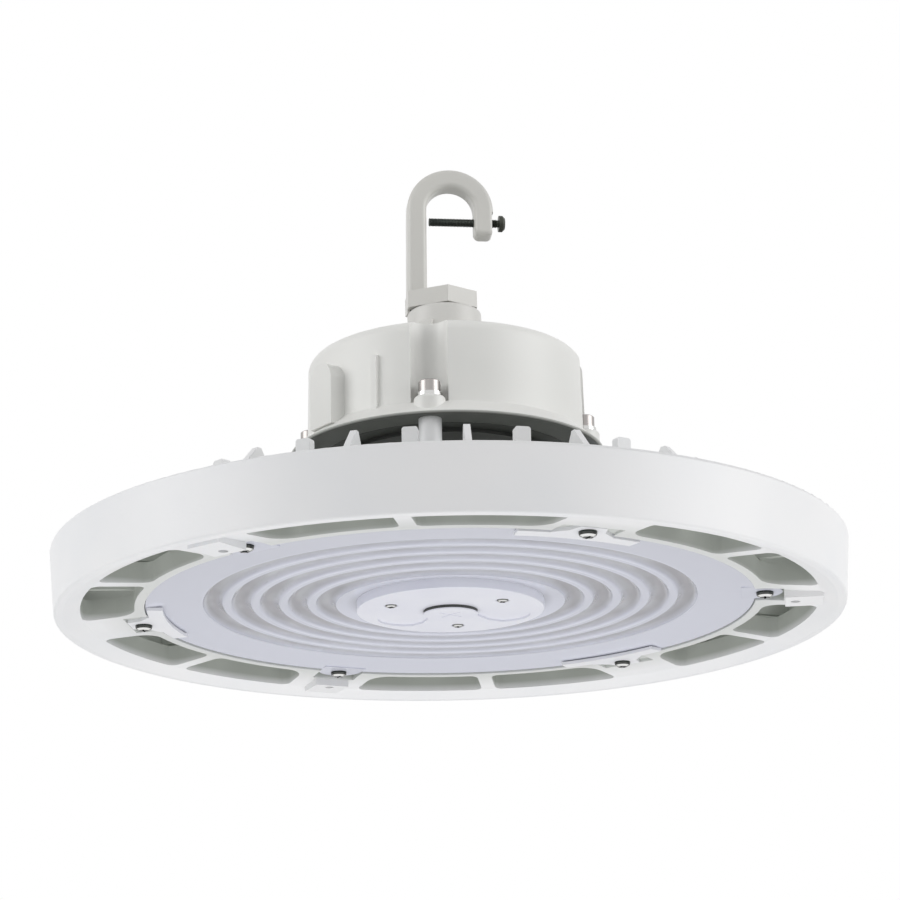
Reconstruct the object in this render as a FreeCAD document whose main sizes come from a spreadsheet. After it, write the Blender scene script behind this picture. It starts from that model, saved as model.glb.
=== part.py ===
import FreeCAD, Part
import math
import os
import Sketcher
from FreeCAD import Placement, Rotation, Vector

# High bay light, millimetres, +Z up. The origin is the centre of the rim's bottom plane.
# The heads of the lens screws, the fins, the vents and the driver bolts are all clocked
# from one direction, +X of the model before it is turned by clock_deg.

SIZES = [
    ("clock_deg", -6.5), ("hook_turn_deg", 7),
    # heat sink: rim, web, lens seat and plate
    ("rim_top_r", 180), ("rim_bottom_r", 177.6), ("rim_height", 29.1), ("rim_wall", 3.6),
    ("rim_edge", 1.3), ("rim_land_r", 173.6), ("web_top_z", 12), ("vent_out_r", 166), ("vent_out_z", 3),
    ("vent_in_r", 142), ("lip_z", 4.9), ("cavity_r", 121), ("plate_t", 5),
    ("plate_r", 128), ("rib_w", 7), ("spoke_w", 37), ("vent_corner", 4), ("boss_corner", 11),
    # heat sink: fins, blocks, posts and accessory pads
    ("fin_count", 18), ("fin_t", 2.8), ("fin_top_z", 49.7), ("fin_peak_in_r", 132.5),
    ("fin_peak_out_r", 135), ("fin_in_r", 120), ("fin_shoulder_r", 151), ("fin_shoulder_z", 33),
    ("fin_core_r", 45), ("fin_core_z", 31), ("block_w", 6.7), ("block_in_r", 130),
    ("block_out_r", 134), ("block_edge", 1.2), ("post_pcd_r", 63.4), ("post_r", 5.1), ("pilot_depth", 20),
    ("pad_in_r", 150.2), ("pad_out_r", 167), ("pad_w", 17), ("pad_z", 0.8),
    ("pad_hole_pcd_r", 154.7), ("pad_hole_r", 2.1), ("pad_hole_depth", 8),
    # lens and its fixings
    ("lens_r", 137.2), ("lens_gap", 0.4), ("lens_z", 5.8), ("lens_edge_t", 2.2),
    ("gasket_t", 1), ("gasket_in_r", 126), ("optic_z", 7.6), ("optic_top_z", 12.8),
    ("ring_first_r", 56.3), ("ring_pitch", 12.7), ("groove_r", 4.7), ("groove_z", 11),
    ("ridge_edge", 1.1), ("core_half_w", 4.2), ("core_depth", 3.4), ("lens_bore_r", 34.5),
    ("lens_screw_pcd_r", 141.4), ("ear_w", 21), ("ear_end_r", 149.5), ("screw_head_r", 3.9),
    ("screw_head_h", 2.4), ("cross_half_l", 2.2), ("cross_half_w", 0.45), ("cross_depth", 1.3),
    ("screw_r", 2), ("screw_gap", 0.15), ("screw_depth", 8),
    ("clip_t", 1.5), ("clip_in_r", 129.4), ("clip_out_r", 136.4), ("clip_half_deg", 11.7),
    ("clip_root_half", 14), ("clip_tip_half", 6), ("clip_tip_r", 147.7), ("clip_gap", 0.3),
    # light-emitting board
    ("board_t", 1.6), ("board_r", 118), ("board_bore_r", 36), ("chip_w", 3), ("chip_h", 0.7),
    ("chips_first", 24), ("chips_step", 6), ("board_screw_head_r", 2.7),
    ("board_screw_head_h", 1.6), ("board_screw_r", 1.5), ("small_screw_depth", 3),
    ("connector_l", 10), ("connector_w", 7), ("connector_h", 2), ("connector_r", 40.5),
    # centre cover, plug and socket
    ("cover_r", 42.4), ("cover_edge", 0.4), ("cover_face_z", 4.3),
    ("cover_back_z", 8.7), ("cover_t", 2.4), ("aperture_r", 12.3), ("plug_face_z", 2.5),
    ("plug_cap_t", 0.5), ("plug_neck_r", 10.5), ("plug_top_z", 9.1), ("seal_gap", 0.2),
    ("seal_top_z", 5.4), ("slit_l", 13), ("slit_w", 0.7), ("slit_depth", 0.35), ("slit_deg", 48),
    ("cover_screw_pcd_r", 29), ("cover_screw_head_r", 2.6), ("cover_screw_sink_r", 3.2),
    ("cover_screw_sink", 0.4), ("cover_screw_head_h", 1.1), ("socket_r", 33),
    ("lobe_in_r", 14.5), ("lobe_in_half", 4), ("lobe_mid_r", 24), ("lobe_mid_half", 11),
    ("lobe_out_r", 31), ("lobe_half_w", 12), ("lobe_end_r", 13.5), ("lobe_depth", 0.9),
    # driver housing
    ("house_top_z", 122.5), ("house_base_z", 75.2), ("house_top_r", 63.5), ("house_low_r", 64.1),
    ("house_low_z", 83), ("flange_r", 72.3), ("flange_edge", 1.2), ("house_top_edge", 5.4),
    ("cavity_top", 3.5), ("house_cavity_r", 52), ("channel_r", 8.4), ("channel_floor_z", 83),
    ("bolt_boss_r", 7), ("bolt_boss_z", 85.3), ("bolt_boss_edge", 1.6), ("arch_w", 16),
    ("arch_reach", 70.8), ("arch_top_z", 108.9), ("arch_deg", -135.8), ("rib_reach", 65.8),
    ("rib_top_z", 107.6), ("side_rib_w", 2.8), ("rib_deg", -112.5),
    ("bolt_r", 3), ("bolt_gap", 0.15), ("bolt_head_r", 4.85), ("bolt_head_h", 5.7),
    ("bolt_socket_r", 2.5), ("bolt_socket_depth", 3), ("washer_t", 1.6), ("washer_r", 5.6),
    ("bolt_len", 26),
    # driver base plate and what stands on it
    ("base_r", 57.8), ("base_gap", 0.3), ("base_t", 3), ("base_disc_r", 49), ("base_disc_t", 1.5),
    ("base_gasket_t", 1), ("base_screw_pcd_r", 55), ("driver_l", 80), ("driver_w", 50),
    ("driver_h", 30), ("driver_y", -6), ("driver_edge", 3), ("foot_l", 96), ("foot_w", 24),
    ("foot_t", 2.5), ("foot_screw_x", 44), ("sleeve_y", 44), ("sleeve_r", 4.5),
    ("sleeve_wall", 1.2), ("sleeve_gap", 0.2),
    # hub and hook
    ("hub_r", 17.3), ("hub_top_z", 147), ("hub_flange_r", 24), ("hub_flange_t", 4.5),
    ("hub_gasket_t", 1.5), ("hub_edge", 1.6), ("hub_bore_r", 10.3), ("hub_floor_t", 3),
    ("spigot_r", 11), ("spigot_gap", 0.2), ("spigot_len", 14), ("wire_bore_r", 6),
    ("gusset_top_z", 138.5), ("gusset_w", 6), ("gusset_deg", -110.7), ("nut_across", 30),
    ("nut_t", 5), ("hex_across", 29), ("hex_gap", 0.6), ("hex_h", 8), ("stub_r", 10),
    ("stub_len", 17), ("hook_eye_x", 3.5), ("hook_eye_z", 197.9), ("hook_in_r", 11.35),
    ("hook_band", 9.05), ("hook_depth", 11), ("hook_edge", 2.4), ("shank_foot_x", -17.6),
    ("shank_foot_z", 146.2), ("shank_in_x", -8.3), ("shank_tongue", 1.1), ("hook_tip_z", 185.3),
    ("hook_tip_edge", 2.9), ("hook_screw_z", 193), ("hook_screw_r", 2), ("hook_screw_end_x", -6.4),
    ("hook_screw_head_x", 26.8), ("hook_screw_head_r", 3.9), ("hook_screw_head_h", 2.9),
    ("tip_land", 0.8), ("thread_pitch", 0.7), ("thread_depth", 0.3), ("hex_side_half", 6.6),
    ("hex_side_in_x", -12), ("hex_side_in_half", 9.8),
]

COVER_SCREW_TURN = 90

doc = FreeCAD.newDocument("high_bay_light")
sheet = doc.addObject("Spreadsheet::Sheet", "Sizes")
for row, (alias, number) in enumerate(SIZES, start=1):
    sheet.set("A%d" % row, alias)
    sheet.set("B%d" % row, str(number))
    sheet.setAlias("B%d" % row, alias)
doc.recompute()


class Size:
    """A length or angle that knows both its number and its expression on the sheet."""

    def __init__(self, number, text):
        self.number = float(number)
        self.text = text

    def __add__(self, other):
        other = as_size(other)
        return Size(self.number + other.number, "(%s + %s)" % (self.text, other.text))

    def __sub__(self, other):
        other = as_size(other)
        return Size(self.number - other.number, "(%s - %s)" % (self.text, other.text))

    def __mul__(self, other):
        other = as_size(other)
        return Size(self.number * other.number, "(%s * %s)" % (self.text, other.text))

    def __truediv__(self, other):
        other = as_size(other)
        return Size(self.number / other.number, "(%s / %s)" % (self.text, other.text))

    def __neg__(self):
        return Size(-self.number, "(0 - %s)" % self.text)

    def __rmul__(self, other):
        return as_size(other) * self


def as_size(value):
    return value if isinstance(value, Size) else Size(value, "(%s)" % value)


def cosine(angle):
    angle = as_size(angle)
    return Size(math.cos(math.radians(angle.number)), "cos(%s)" % angle.text)


def sine(angle):
    angle = as_size(angle)
    return Size(math.sin(math.radians(angle.number)), "sin(%s)" % angle.text)


def root(value):
    value = as_size(value)
    return Size(math.sqrt(value.number), "sqrt(%s)" % value.text)


S = {alias: Size(sheet.get(alias), "Sizes.%s" % alias) for alias, _ in SIZES}


def polar(radius, angle):
    return (as_size(radius) * cosine(angle), as_size(radius) * sine(angle))


def bind(thing, prop, value):
    value = as_size(value)
    thing.setExpression(prop, value.text)


# ---------------------------------------------------------------- modelling helpers

def new_body(label, turn="clock_deg"):
    body = doc.addObject("PartDesign::Body", label)
    body.Label = label
    body.Placement = Placement(Vector(), Rotation(Vector(0, 0, 1), S[turn].number))
    bind(body, "Placement.Rotation.Angle", S[turn])
    return body


def new_sketch(body, name, role, height=0, turn=0):
    """Sketch on an origin plane: raised along Z from XY_Plane, or turned about Z from XZ_Plane."""
    plane = next(item for item in body.Origin.OriginFeatures if item.Role == role)
    sketch = body.newObject("Sketcher::SketchObject", name)
    sketch.AttachmentSupport = (plane, [""])
    sketch.MapMode = "FlatFace"
    height = as_size(height)
    turn = as_size(turn)
    if role == "XY_Plane":
        sketch.AttachmentOffset = Placement(
            Vector(0, 0, height.number), Rotation(Vector(0, 0, 1), turn.number))
        bind(sketch, "AttachmentOffset.Base.z", height)
    else:
        sketch.AttachmentOffset = Placement(Vector(), Rotation(Vector(0, 1, 0), turn.number))
    if turn.number:
        bind(sketch, "AttachmentOffset.Rotation.Angle", turn)
    return sketch


def pin_distance(sketch, kind, geometry, vertex, value):
    index = sketch.addConstraint(
        Sketcher.Constraint(kind, -1, 1, geometry, vertex, as_size(value).number))
    bind(sketch, "Constraints[%d]" % index, value)


def pin_radius(sketch, geometry, value):
    index = sketch.addConstraint(Sketcher.Constraint("Radius", geometry, as_size(value).number))
    bind(sketch, "Constraints[%d]" % index, value)


def arc_between(start, end, radius, leftward):
    """Arc from start to end; its centre lies to the left of the chord when leftward is true."""
    chord = end - start
    half = chord.Length / 2
    rise = math.sqrt(max(radius * radius - half * half, 0))
    side = Vector(-chord.y, chord.x, 0).normalize() * (1 if leftward else -1)
    centre = (start + end) * 0.5 + side * rise
    circle = Part.Circle(centre, Vector(0, 0, 1), radius)
    first = math.atan2(start.y - centre.y, start.x - centre.x)
    last = math.atan2(end.y - centre.y, end.x - centre.x)
    if not leftward:
        first, last = last, first
    return Part.ArcOfCircle(circle, first, last)


def draw_outline(sketch, corners, arcs=None):
    """Closed outline. arcs maps the index of a corner to the radius and side of the edge after it."""
    arcs = arcs or {}
    places = [Vector(as_size(x).number, as_size(y).number, 0) for x, y in corners]
    total = len(places)
    ends = []
    for index in range(total):
        start = places[index]
        end = places[(index + 1) % total]
        if index in arcs:
            radius, leftward = arcs[index]
            arc = arc_between(start, end, as_size(radius).number, leftward)
            edge = sketch.addGeometry(arc, False)
            ends.append((edge, 1, 2) if leftward else (edge, 2, 1))
            pin_radius(sketch, edge, radius)
        else:
            edge = sketch.addGeometry(Part.LineSegment(start, end), False)
            ends.append((edge, 1, 2))
    for index, (edge, first, last) in enumerate(ends):
        follower, follower_first, _ = ends[(index + 1) % total]
        sketch.addConstraint(
            Sketcher.Constraint("Coincident", edge, last, follower, follower_first))
        pin_distance(sketch, "DistanceX", edge, first, corners[index][0])
        pin_distance(sketch, "DistanceY", edge, first, corners[index][1])


def draw_circle(sketch, x, y, radius):
    x, y, radius = as_size(x), as_size(y), as_size(radius)
    circle = Part.Circle(Vector(x.number, y.number, 0), Vector(0, 0, 1), radius.number)
    edge = sketch.addGeometry(circle, False)
    pin_radius(sketch, edge, radius)
    pin_distance(sketch, "DistanceX", edge, 3, x)
    pin_distance(sketch, "DistanceY", edge, 3, y)


def draw_box(sketch, x_from, x_to, y_from, y_to):
    draw_outline(sketch, [(x_from, y_from), (x_to, y_from), (x_to, y_to), (x_from, y_to)])


def revolve(body, sketch, kind="Revolution", axis="V_Axis"):
    feature = body.newObject("PartDesign::" + kind, sketch.Name + "_turned")
    feature.Profile = sketch
    feature.ReferenceAxis = (sketch, [axis])
    feature.Angle = 360
    sketch.Visibility = False
    feature.Refine = False
    return feature


def pad(body, sketch, length, symmetric=False, backward=False):
    feature = body.newObject("PartDesign::Pad", sketch.Name + "_pad")
    feature.Profile = sketch
    feature.Length = as_size(length).number
    bind(feature, "Length", length)
    feature.SideType = "Symmetric" if symmetric else "One side"
    feature.Reversed = backward
    feature.Refine = False
    return feature


def pocket(body, sketch, length, upward=True):
    feature = body.newObject("PartDesign::Pocket", sketch.Name + "_cut")
    feature.Profile = sketch
    feature.Length = as_size(length).number
    bind(feature, "Length", length)
    feature.Reversed = upward
    feature.Refine = False
    return feature


def around(body, features, count, sketch, axis="V_Axis"):
    feature = body.newObject("PartDesign::PolarPattern", features[0].Name + "_around")
    feature.Originals = features
    feature.Axis = (sketch, [axis])
    feature.Angle = 360
    feature.Occurrences = int(as_size(count).number)
    if isinstance(count, Size):
        bind(feature, "Occurrences", count)
    feature.Refine = False
    body.Tip = feature
    return feature


def circle_edges(shape, radius, height):
    """Names of the full or part circles about Z with this radius at this height."""
    names = []
    for number, edge in enumerate(shape.Edges, start=1):
        curve = edge.Curve
        if not isinstance(curve, Part.Circle):
            continue
        centred = math.hypot(curve.Center.x, curve.Center.y) < 0.01
        if centred and abs(curve.Radius - radius) < 0.01 and abs(curve.Center.z - height) < 0.01:
            names.append("Edge%d" % number)
    return names


def fillet(body, names, radius):
    base = body.Tip
    feature = body.newObject("PartDesign::Fillet", "rounding")
    feature.Base = (base, names)
    feature.Radius = as_size(radius).number
    bind(feature, "Radius", radius)
    body.Tip = feature
    return feature


def turned(label, corners, arcs=None, turn="clock_deg"):
    """Body turned about Z from a half section of (radius, height) corners."""
    body = new_body(label, turn)
    sketch = new_sketch(body, label + "_section", "XZ_Plane")
    draw_outline(sketch, corners, arcs)
    revolve(body, sketch)
    doc.recompute()
    return body


def draw_cross(sketch, x, half_length, half_width):
    """Outline of a cross with its middle at (x, 0)."""
    corners = [
        (x + half_length, -half_width), (x + half_length, half_width),
        (x + half_width, half_width), (x + half_width, half_length),
        (x - half_width, half_length), (x - half_width, half_width),
        (x - half_length, half_width), (x - half_length, -half_width),
        (x - half_width, -half_width), (x - half_width, -half_length),
        (x + half_width, -half_length), (x + half_width, -half_width),
    ]
    draw_outline(sketch, corners)


def turned_group(label, distance, section, count, first_deg=0, cross=None):
    """Turned pieces, such as screws, spaced evenly on a circle of radius distance about Z.
    cross is the height, half length and depth of a cross recess in their undersides."""
    body = new_body(label)
    sketch = new_sketch(body, label + "_section", "XZ_Plane", turn=first_deg)
    draw_outline(sketch, [(distance + across, up) for across, up in section])
    axis = sketch.addGeometry(
        Part.LineSegment(Vector(distance.number, -10, 0), Vector(distance.number, 10, 0)), True)
    sketch.addConstraint(Sketcher.Constraint("Vertical", axis))
    pin_distance(sketch, "DistanceX", axis, 1, distance)
    features = [revolve(body, sketch, axis="Axis0")]
    if cross:
        height, half_length, depth = cross
        recess = new_sketch(body, label + "_cross", "XY_Plane", height=height, turn=first_deg)
        draw_cross(recess, distance, half_length, S["cross_half_w"])
        features.append(pocket(body, recess, depth))
    around(body, features, count, sketch)
    doc.recompute()
    return body


def ring(label, outer, inner, low, height, turn="clock_deg"):
    body = new_body(label, turn)
    sketch = new_sketch(body, label + "_outline", "XY_Plane", height=low)
    draw_circle(sketch, 0, 0, outer)
    draw_circle(sketch, 0, 0, inner)
    pad(body, sketch, height)
    doc.recompute()
    return body


# ---------------------------------------------------------------- shared heights and places

lens_top_z = S["lens_z"] + S["lens_edge_t"]
seat_z = lens_top_z + S["gasket_t"]
chip_z = S["optic_top_z"] + 0.3
board_z = chip_z + S["chip_h"]
plate_z = board_z + S["board_t"]
plate_top_z = plate_z + S["plate_t"]
recess_r = S["lens_r"] + S["lens_gap"]
ring_radii = [S["ring_first_r"] + number * S["ring_pitch"] for number in range(5)]
base_top_z = S["house_base_z"] + S["base_t"]
base_seat_z = base_top_z + S["base_gasket_t"]
base_low_z = S["house_base_z"] - S["base_disc_t"]
hub_base_z = S["house_top_z"] + S["hub_gasket_t"]
cavity_top_z = S["house_top_z"] - S["cavity_top"]
bolt_seat_z = S["bolt_boss_z"] + S["washer_t"]


# ---------------------------------------------------------------- heat sink

def rim_section():
    rim_in_top = (S["rim_top_r"] - S["rim_wall"], S["rim_height"])
    slope = (S["rim_top_r"] - S["rim_bottom_r"]) / S["rim_height"]
    rim_in_low = (S["rim_bottom_r"] - S["rim_wall"] + slope * S["web_top_z"], S["web_top_z"])
    return [
        (S["sleeve_r"], plate_z), (S["cavity_r"], plate_z), (S["cavity_r"], seat_z),
        (recess_r, seat_z), (recess_r, S["lip_z"]), (S["vent_in_r"], S["lip_z"]),
        (S["vent_out_r"], S["vent_out_z"]), (S["rim_land_r"], 0), (S["rim_bottom_r"], 0),
        (S["rim_top_r"], S["rim_height"]), rim_in_top, rim_in_low,
        (S["vent_in_r"], S["web_top_z"] + 2), (S["plate_r"], plate_top_z),
        (S["sleeve_r"], plate_top_z),
    ]


def fin_section():
    rim_in = S["rim_top_r"] - S["rim_wall"] / 2
    foot = S["web_top_z"] + 3
    return [
        (S["fin_core_r"], plate_top_z - 1), (S["plate_r"], plate_top_z - 1),
        (S["vent_in_r"], foot), (rim_in, foot), (rim_in, S["rim_height"] - 1.5),
        (S["fin_shoulder_r"], S["fin_shoulder_z"]), (S["fin_peak_out_r"], S["fin_top_z"]),
        (S["fin_peak_in_r"], S["fin_top_z"]), (S["fin_in_r"], S["fin_core_z"]),
        (S["fin_core_r"] + 8, S["fin_core_z"]), (S["fin_core_r"], plate_top_z + 4),
    ]


def along_side(radius, half_width):
    """Distance from Z, along a spoke, at which its side meets a circle about Z."""
    return root(radius * radius - half_width * half_width)


def turned_place(x, y, angle):
    return (x * cosine(angle) - y * sine(angle), x * sine(angle) + y * cosine(angle))


def vent_outline(sketch, side):
    """One vent beside the +X rib, from the rib to the spoke 30 degrees away on this side."""
    near, far = S["vent_in_r"], S["vent_out_r"]
    corner, wide = S["vent_corner"], S["boss_corner"]
    rib, spoke = S["rib_w"] / 2, S["spoke_w"] / 2
    rib_in = along_side(near + corner, rib + corner)
    rib_out = along_side(far - corner, rib + corner)
    spoke_out = along_side(far - corner, spoke + corner)
    spoke_in = along_side(near + wide, spoke + wide)
    out_scale = far / (far - corner)
    places = [
        (rib_in, rib), (rib_out, rib), (rib_out * out_scale, (rib + corner) * out_scale),
        turned_place(spoke_out * out_scale, -(spoke + corner) * out_scale, 30),
        turned_place(spoke_out, -spoke, 30), turned_place(spoke_in, -spoke, 30),
        turned_place(spoke_in * near / (near + wide), -(spoke + wide) * near / (near + wide), 30),
        (rib_in * near / (near + corner), (rib + corner) * near / (near + corner)),
    ]
    corners = [(x, as_size(y) * side) for x, y in places]
    leftward = side > 0
    arcs = {1: (corner, leftward), 2: (far, leftward), 3: (corner, leftward),
            5: (wide, leftward), 6: (near, not leftward), 7: (corner, leftward)}
    draw_outline(sketch, corners, arcs)


def build_heat_sink():
    body = new_body("heat_sink")
    section = new_sketch(body, "rim_section", "XZ_Plane")
    draw_outline(section, rim_section())
    revolve(body, section)

    vents = new_sketch(body, "vents", "XY_Plane", turn=30)
    vent_outline(vents, 1)
    vent_outline(vents, -1)
    vent_cut = pocket(body, vents, plate_top_z)
    around(body, [vent_cut], 6, vents, "N_Axis")

    fin = new_sketch(body, "fin", "XZ_Plane")
    draw_outline(fin, fin_section())
    fin_pad = pad(body, fin, S["fin_t"], symmetric=True)
    around(body, [fin_pad], S["fin_count"], fin)

    half_step = 180 / S["fin_count"].number
    half_step_size = Size(half_step, "(180 / Sizes.fin_count)")
    block = new_sketch(body, "block", "XZ_Plane", turn=half_step_size)
    draw_box(block, S["block_in_r"], S["block_out_r"], plate_top_z - 3, S["fin_top_z"])
    block_pad = pad(body, block, S["block_w"], symmetric=True)
    around(body, [block_pad], S["fin_count"], block)

    low_fin = new_sketch(body, "low_fin", "XZ_Plane", turn=half_step_size)
    foot = S["web_top_z"] + 3
    rim_in = S["rim_top_r"] - S["rim_wall"] / 2
    draw_outline(low_fin, [
        (S["block_out_r"] - 3, foot), (rim_in, foot), (rim_in, S["rim_height"] - 1.5),
        (S["block_out_r"] - 3, S["fin_core_z"])])
    low_pad = pad(body, low_fin, S["fin_t"], symmetric=True)
    around(body, [low_pad], S["fin_count"], low_fin)

    post = new_sketch(body, "post", "XY_Plane", height=plate_z + 1)
    draw_circle(post, S["post_pcd_r"], 0, S["post_r"])
    post_pad = pad(body, post, S["house_base_z"] - plate_z - 1)
    around(body, [post_pad], 4, post, "N_Axis")

    pilot = new_sketch(body, "post_pilot", "XY_Plane", height=S["house_base_z"])
    draw_circle(pilot, S["post_pcd_r"], 0, S["bolt_r"] + S["bolt_gap"])
    pilot_cut = pocket(body, pilot, S["pilot_depth"], upward=False)
    around(body, [pilot_cut], 4, pilot, "N_Axis")

    accessory = new_sketch(body, "accessory_pad", "XY_Plane", height=S["pad_z"])
    draw_box(accessory, S["pad_in_r"], S["pad_out_r"], -S["pad_w"] / 2, S["pad_w"] / 2)
    accessory_pad = pad(body, accessory, S["web_top_z"] - S["pad_z"])
    around(body, [accessory_pad], 3, accessory, "N_Axis")

    tapped = new_sketch(body, "accessory_hole", "XY_Plane", height=S["pad_z"])
    draw_circle(tapped, S["pad_hole_pcd_r"], 0, S["pad_hole_r"])
    tapped_cut = pocket(body, tapped, S["pad_hole_depth"])
    around(body, [tapped_cut], 3, tapped, "N_Axis")

    ear = new_sketch(body, "ear_recess", "XY_Plane")
    ear_half = S["ear_w"] / 2 + S["lens_gap"]
    ear_end = S["ear_end_r"] + S["lens_gap"]
    draw_box(ear, S["cavity_r"] + 8, ear_end, -ear_half, ear_half)
    ear_cut = pocket(body, ear, lens_top_z)
    around(body, [ear_cut], 3, ear, "N_Axis")

    tongue = new_sketch(body, "clip_recess", "XY_Plane", turn=60)
    draw_box(tongue, recess_r - 2, S["clip_tip_r"] + S["clip_gap"],
             -S["clip_root_half"], S["clip_root_half"])
    tongue_cut = pocket(body, tongue, S["lens_z"])
    around(body, [tongue_cut], 3, tongue, "N_Axis")

    thread = new_sketch(body, "lens_screw_hole", "XY_Plane")
    draw_circle(thread, S["lens_screw_pcd_r"], 0, S["screw_r"] + S["screw_gap"])
    thread_cut = pocket(body, thread, S["lens_z"] + S["screw_depth"] + 0.5)
    around(body, [thread_cut], 6, thread, "N_Axis")

    small = new_sketch(body, "board_screw_hole", "XY_Plane", height=plate_z, turn=30)
    between = (ring_radii[0] + ring_radii[1]) / 2
    draw_circle(small, between, 0, S["board_screw_r"] + S["screw_gap"])
    small_cut = pocket(body, small, S["small_screw_depth"] + 0.5)
    around(body, [small_cut], 6, small, "N_Axis")

    leads = new_sketch(body, "lead_hole", "XY_Plane")
    draw_circle(leads, 0, S["sleeve_y"], S["sleeve_r"] + S["sleeve_gap"])
    body.Tip = pocket(body, leads, plate_top_z + 1)
    doc.recompute()

    fillet(body, block_top_edges(body.Tip.Shape), S["block_edge"])
    doc.recompute()
    rounded = circle_edges(body.Tip.Shape, S["rim_top_r"].number, S["rim_height"].number)
    rounded += circle_edges(body.Tip.Shape, S["rim_bottom_r"].number, 0)
    fillet(body, rounded, S["rim_edge"])
    doc.recompute()
    return body


def block_top_edges(shape):
    """Names of the radial edges along both sides of the tops of the blocks."""
    names = []
    length = S["block_out_r"].number - S["block_in_r"].number
    top = S["fin_top_z"].number
    for number, edge in enumerate(shape.Edges, start=1):
        ends = [vertex.Point for vertex in edge.Vertexes]
        at_top = all(abs(end.z - top) < 0.01 for end in ends)
        if at_top and abs(edge.Length - length) < 0.01:
            radii = [math.hypot(end.x, end.y) for end in ends]
            if abs(radii[0] - radii[-1]) > length / 2:
                names.append("Edge%d" % number)
    return names


# ---------------------------------------------------------------- lens and its fixings

def build_lens():
    """Dished ring optic: five annular grooves from below, cored between them from above."""
    first_edge = ring_radii[0] - S["groove_r"]
    last_edge = ring_radii[4] + S["groove_r"]
    cover_seat = S["cover_r"] + 1
    flange_top = S["cover_back_z"] + S["cover_t"]
    section = [
        (S["lens_bore_r"], S["cover_back_z"]), (cover_seat, S["cover_back_z"]),
        (first_edge, S["optic_z"]), (last_edge + 1, S["optic_z"]), (S["lens_r"], S["lens_z"]),
        (S["lens_r"], lens_top_z), (S["gasket_in_r"] - 2, lens_top_z),
        (last_edge + 4, S["optic_top_z"] - 2), (last_edge + 2, S["optic_top_z"]),
        (first_edge - 2, S["optic_top_z"]), (cover_seat, flange_top),
        (S["lens_bore_r"], flange_top),
    ]
    body = turned("lens", section)

    groove = new_sketch(body, "groove_section", "XZ_Plane")
    for radius in ring_radii:
        draw_circle(groove, radius, S["groove_z"] - S["groove_r"], S["groove_r"])
    revolve(body, groove, "Groove")

    core = new_sketch(body, "core_section", "XZ_Plane")
    for radius in ring_radii[:-1]:
        ridge_r = radius + S["ring_pitch"] / 2
        rise = S["core_depth"] * 1.5
        draw_outline(core, [
            (ridge_r, S["optic_top_z"] - S["core_depth"]),
            (ridge_r + S["core_half_w"] * 1.5, S["optic_top_z"] - S["core_depth"] + rise),
            (ridge_r - S["core_half_w"] * 1.5, S["optic_top_z"] - S["core_depth"] + rise)])
    revolve(body, core, "Groove")
    doc.recompute()

    ear = new_sketch(body, "ear", "XY_Plane", height=S["lens_z"])
    half = S["ear_w"] / 2
    bend = S["ear_end_r"] - half
    draw_outline(ear, [(S["lens_r"] - 6, -half), (bend, -half), (bend, half),
                       (S["lens_r"] - 6, half)], {1: (half * 1.0001, True)})
    ear_pad = pad(body, ear, S["lens_edge_t"])
    around(body, [ear_pad], 3, ear, "N_Axis")

    hole = new_sketch(body, "ear_hole", "XY_Plane", height=S["lens_z"])
    draw_circle(hole, S["lens_screw_pcd_r"], 0, S["screw_r"] + S["screw_gap"])
    hole_cut = pocket(body, hole, S["lens_edge_t"] + 1)
    around(body, [hole_cut], 3, hole, "N_Axis")
    doc.recompute()

    ridges = []
    for radius in ring_radii:
        rise = S["optic_z"].number - (S["groove_z"] - S["groove_r"]).number
        half_chord = math.sqrt(S["groove_r"].number ** 2 - rise ** 2)
        sides = [radius.number - half_chord, radius.number + half_chord]
        if radius is ring_radii[0]:
            sides = sides[1:]
        if radius is ring_radii[-1]:
            sides = sides[:-1]
        for edge_r in sides:
            ridges += circle_edges(body.Tip.Shape, edge_r, S["optic_z"].number)
    fillet(body, ridges, S["ridge_edge"])
    doc.recompute()
    return body


def build_clip(label, turn):
    """Flat clip: a band over the edge of the lens and a tapered tongue under the screw head."""
    body = new_body(label)
    low_z = S["lens_z"] - S["clip_t"]
    band = new_sketch(body, label + "_band", "XY_Plane", height=low_z, turn=turn)
    half = S["clip_half_deg"]
    draw_outline(
        band,
        [polar(S["clip_in_r"], -half), polar(S["clip_out_r"], -half),
         polar(S["clip_out_r"], half), polar(S["clip_in_r"], half)],
        {1: (S["clip_out_r"], True), 3: (S["clip_in_r"], False)})
    pad(body, band, S["clip_t"])
    tongue = new_sketch(body, label + "_tongue", "XY_Plane", height=low_z, turn=turn)
    middle_r = (S["clip_in_r"] + S["clip_out_r"]) / 2
    draw_outline(tongue, [
        (middle_r, -S["clip_root_half"]), (S["clip_out_r"], -S["clip_root_half"]),
        (S["lens_screw_pcd_r"], -S["clip_tip_half"] - 2), (S["clip_tip_r"], -S["clip_tip_half"]),
        (S["clip_tip_r"], S["clip_tip_half"]), (S["lens_screw_pcd_r"], S["clip_tip_half"] + 2),
        (S["clip_out_r"], S["clip_root_half"]), (middle_r, S["clip_root_half"])])
    pad(body, tongue, S["clip_t"])
    hole = new_sketch(body, label + "_hole", "XY_Plane", height=low_z, turn=turn)
    draw_circle(hole, S["lens_screw_pcd_r"], 0, S["screw_r"] + S["screw_gap"])
    body.Tip = pocket(body, hole, S["clip_t"] + 1)
    doc.recompute()
    return body


def pan_screw(head_z, head_r, head_h, shank_r, shank_h):
    """Half section of a screw that points up: domed head below head_z, shank above it."""
    return [(as_size(0), head_z - head_h), (head_r * 0.6, head_z - head_h),
            (head_r * 0.92, head_z - head_h * 0.7), (head_r, head_z - head_h * 0.3),
            (head_r, head_z), (shank_r, head_z), (shank_r, head_z + shank_h),
            (as_size(0), head_z + shank_h)]


# ---------------------------------------------------------------- board and chips

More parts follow.
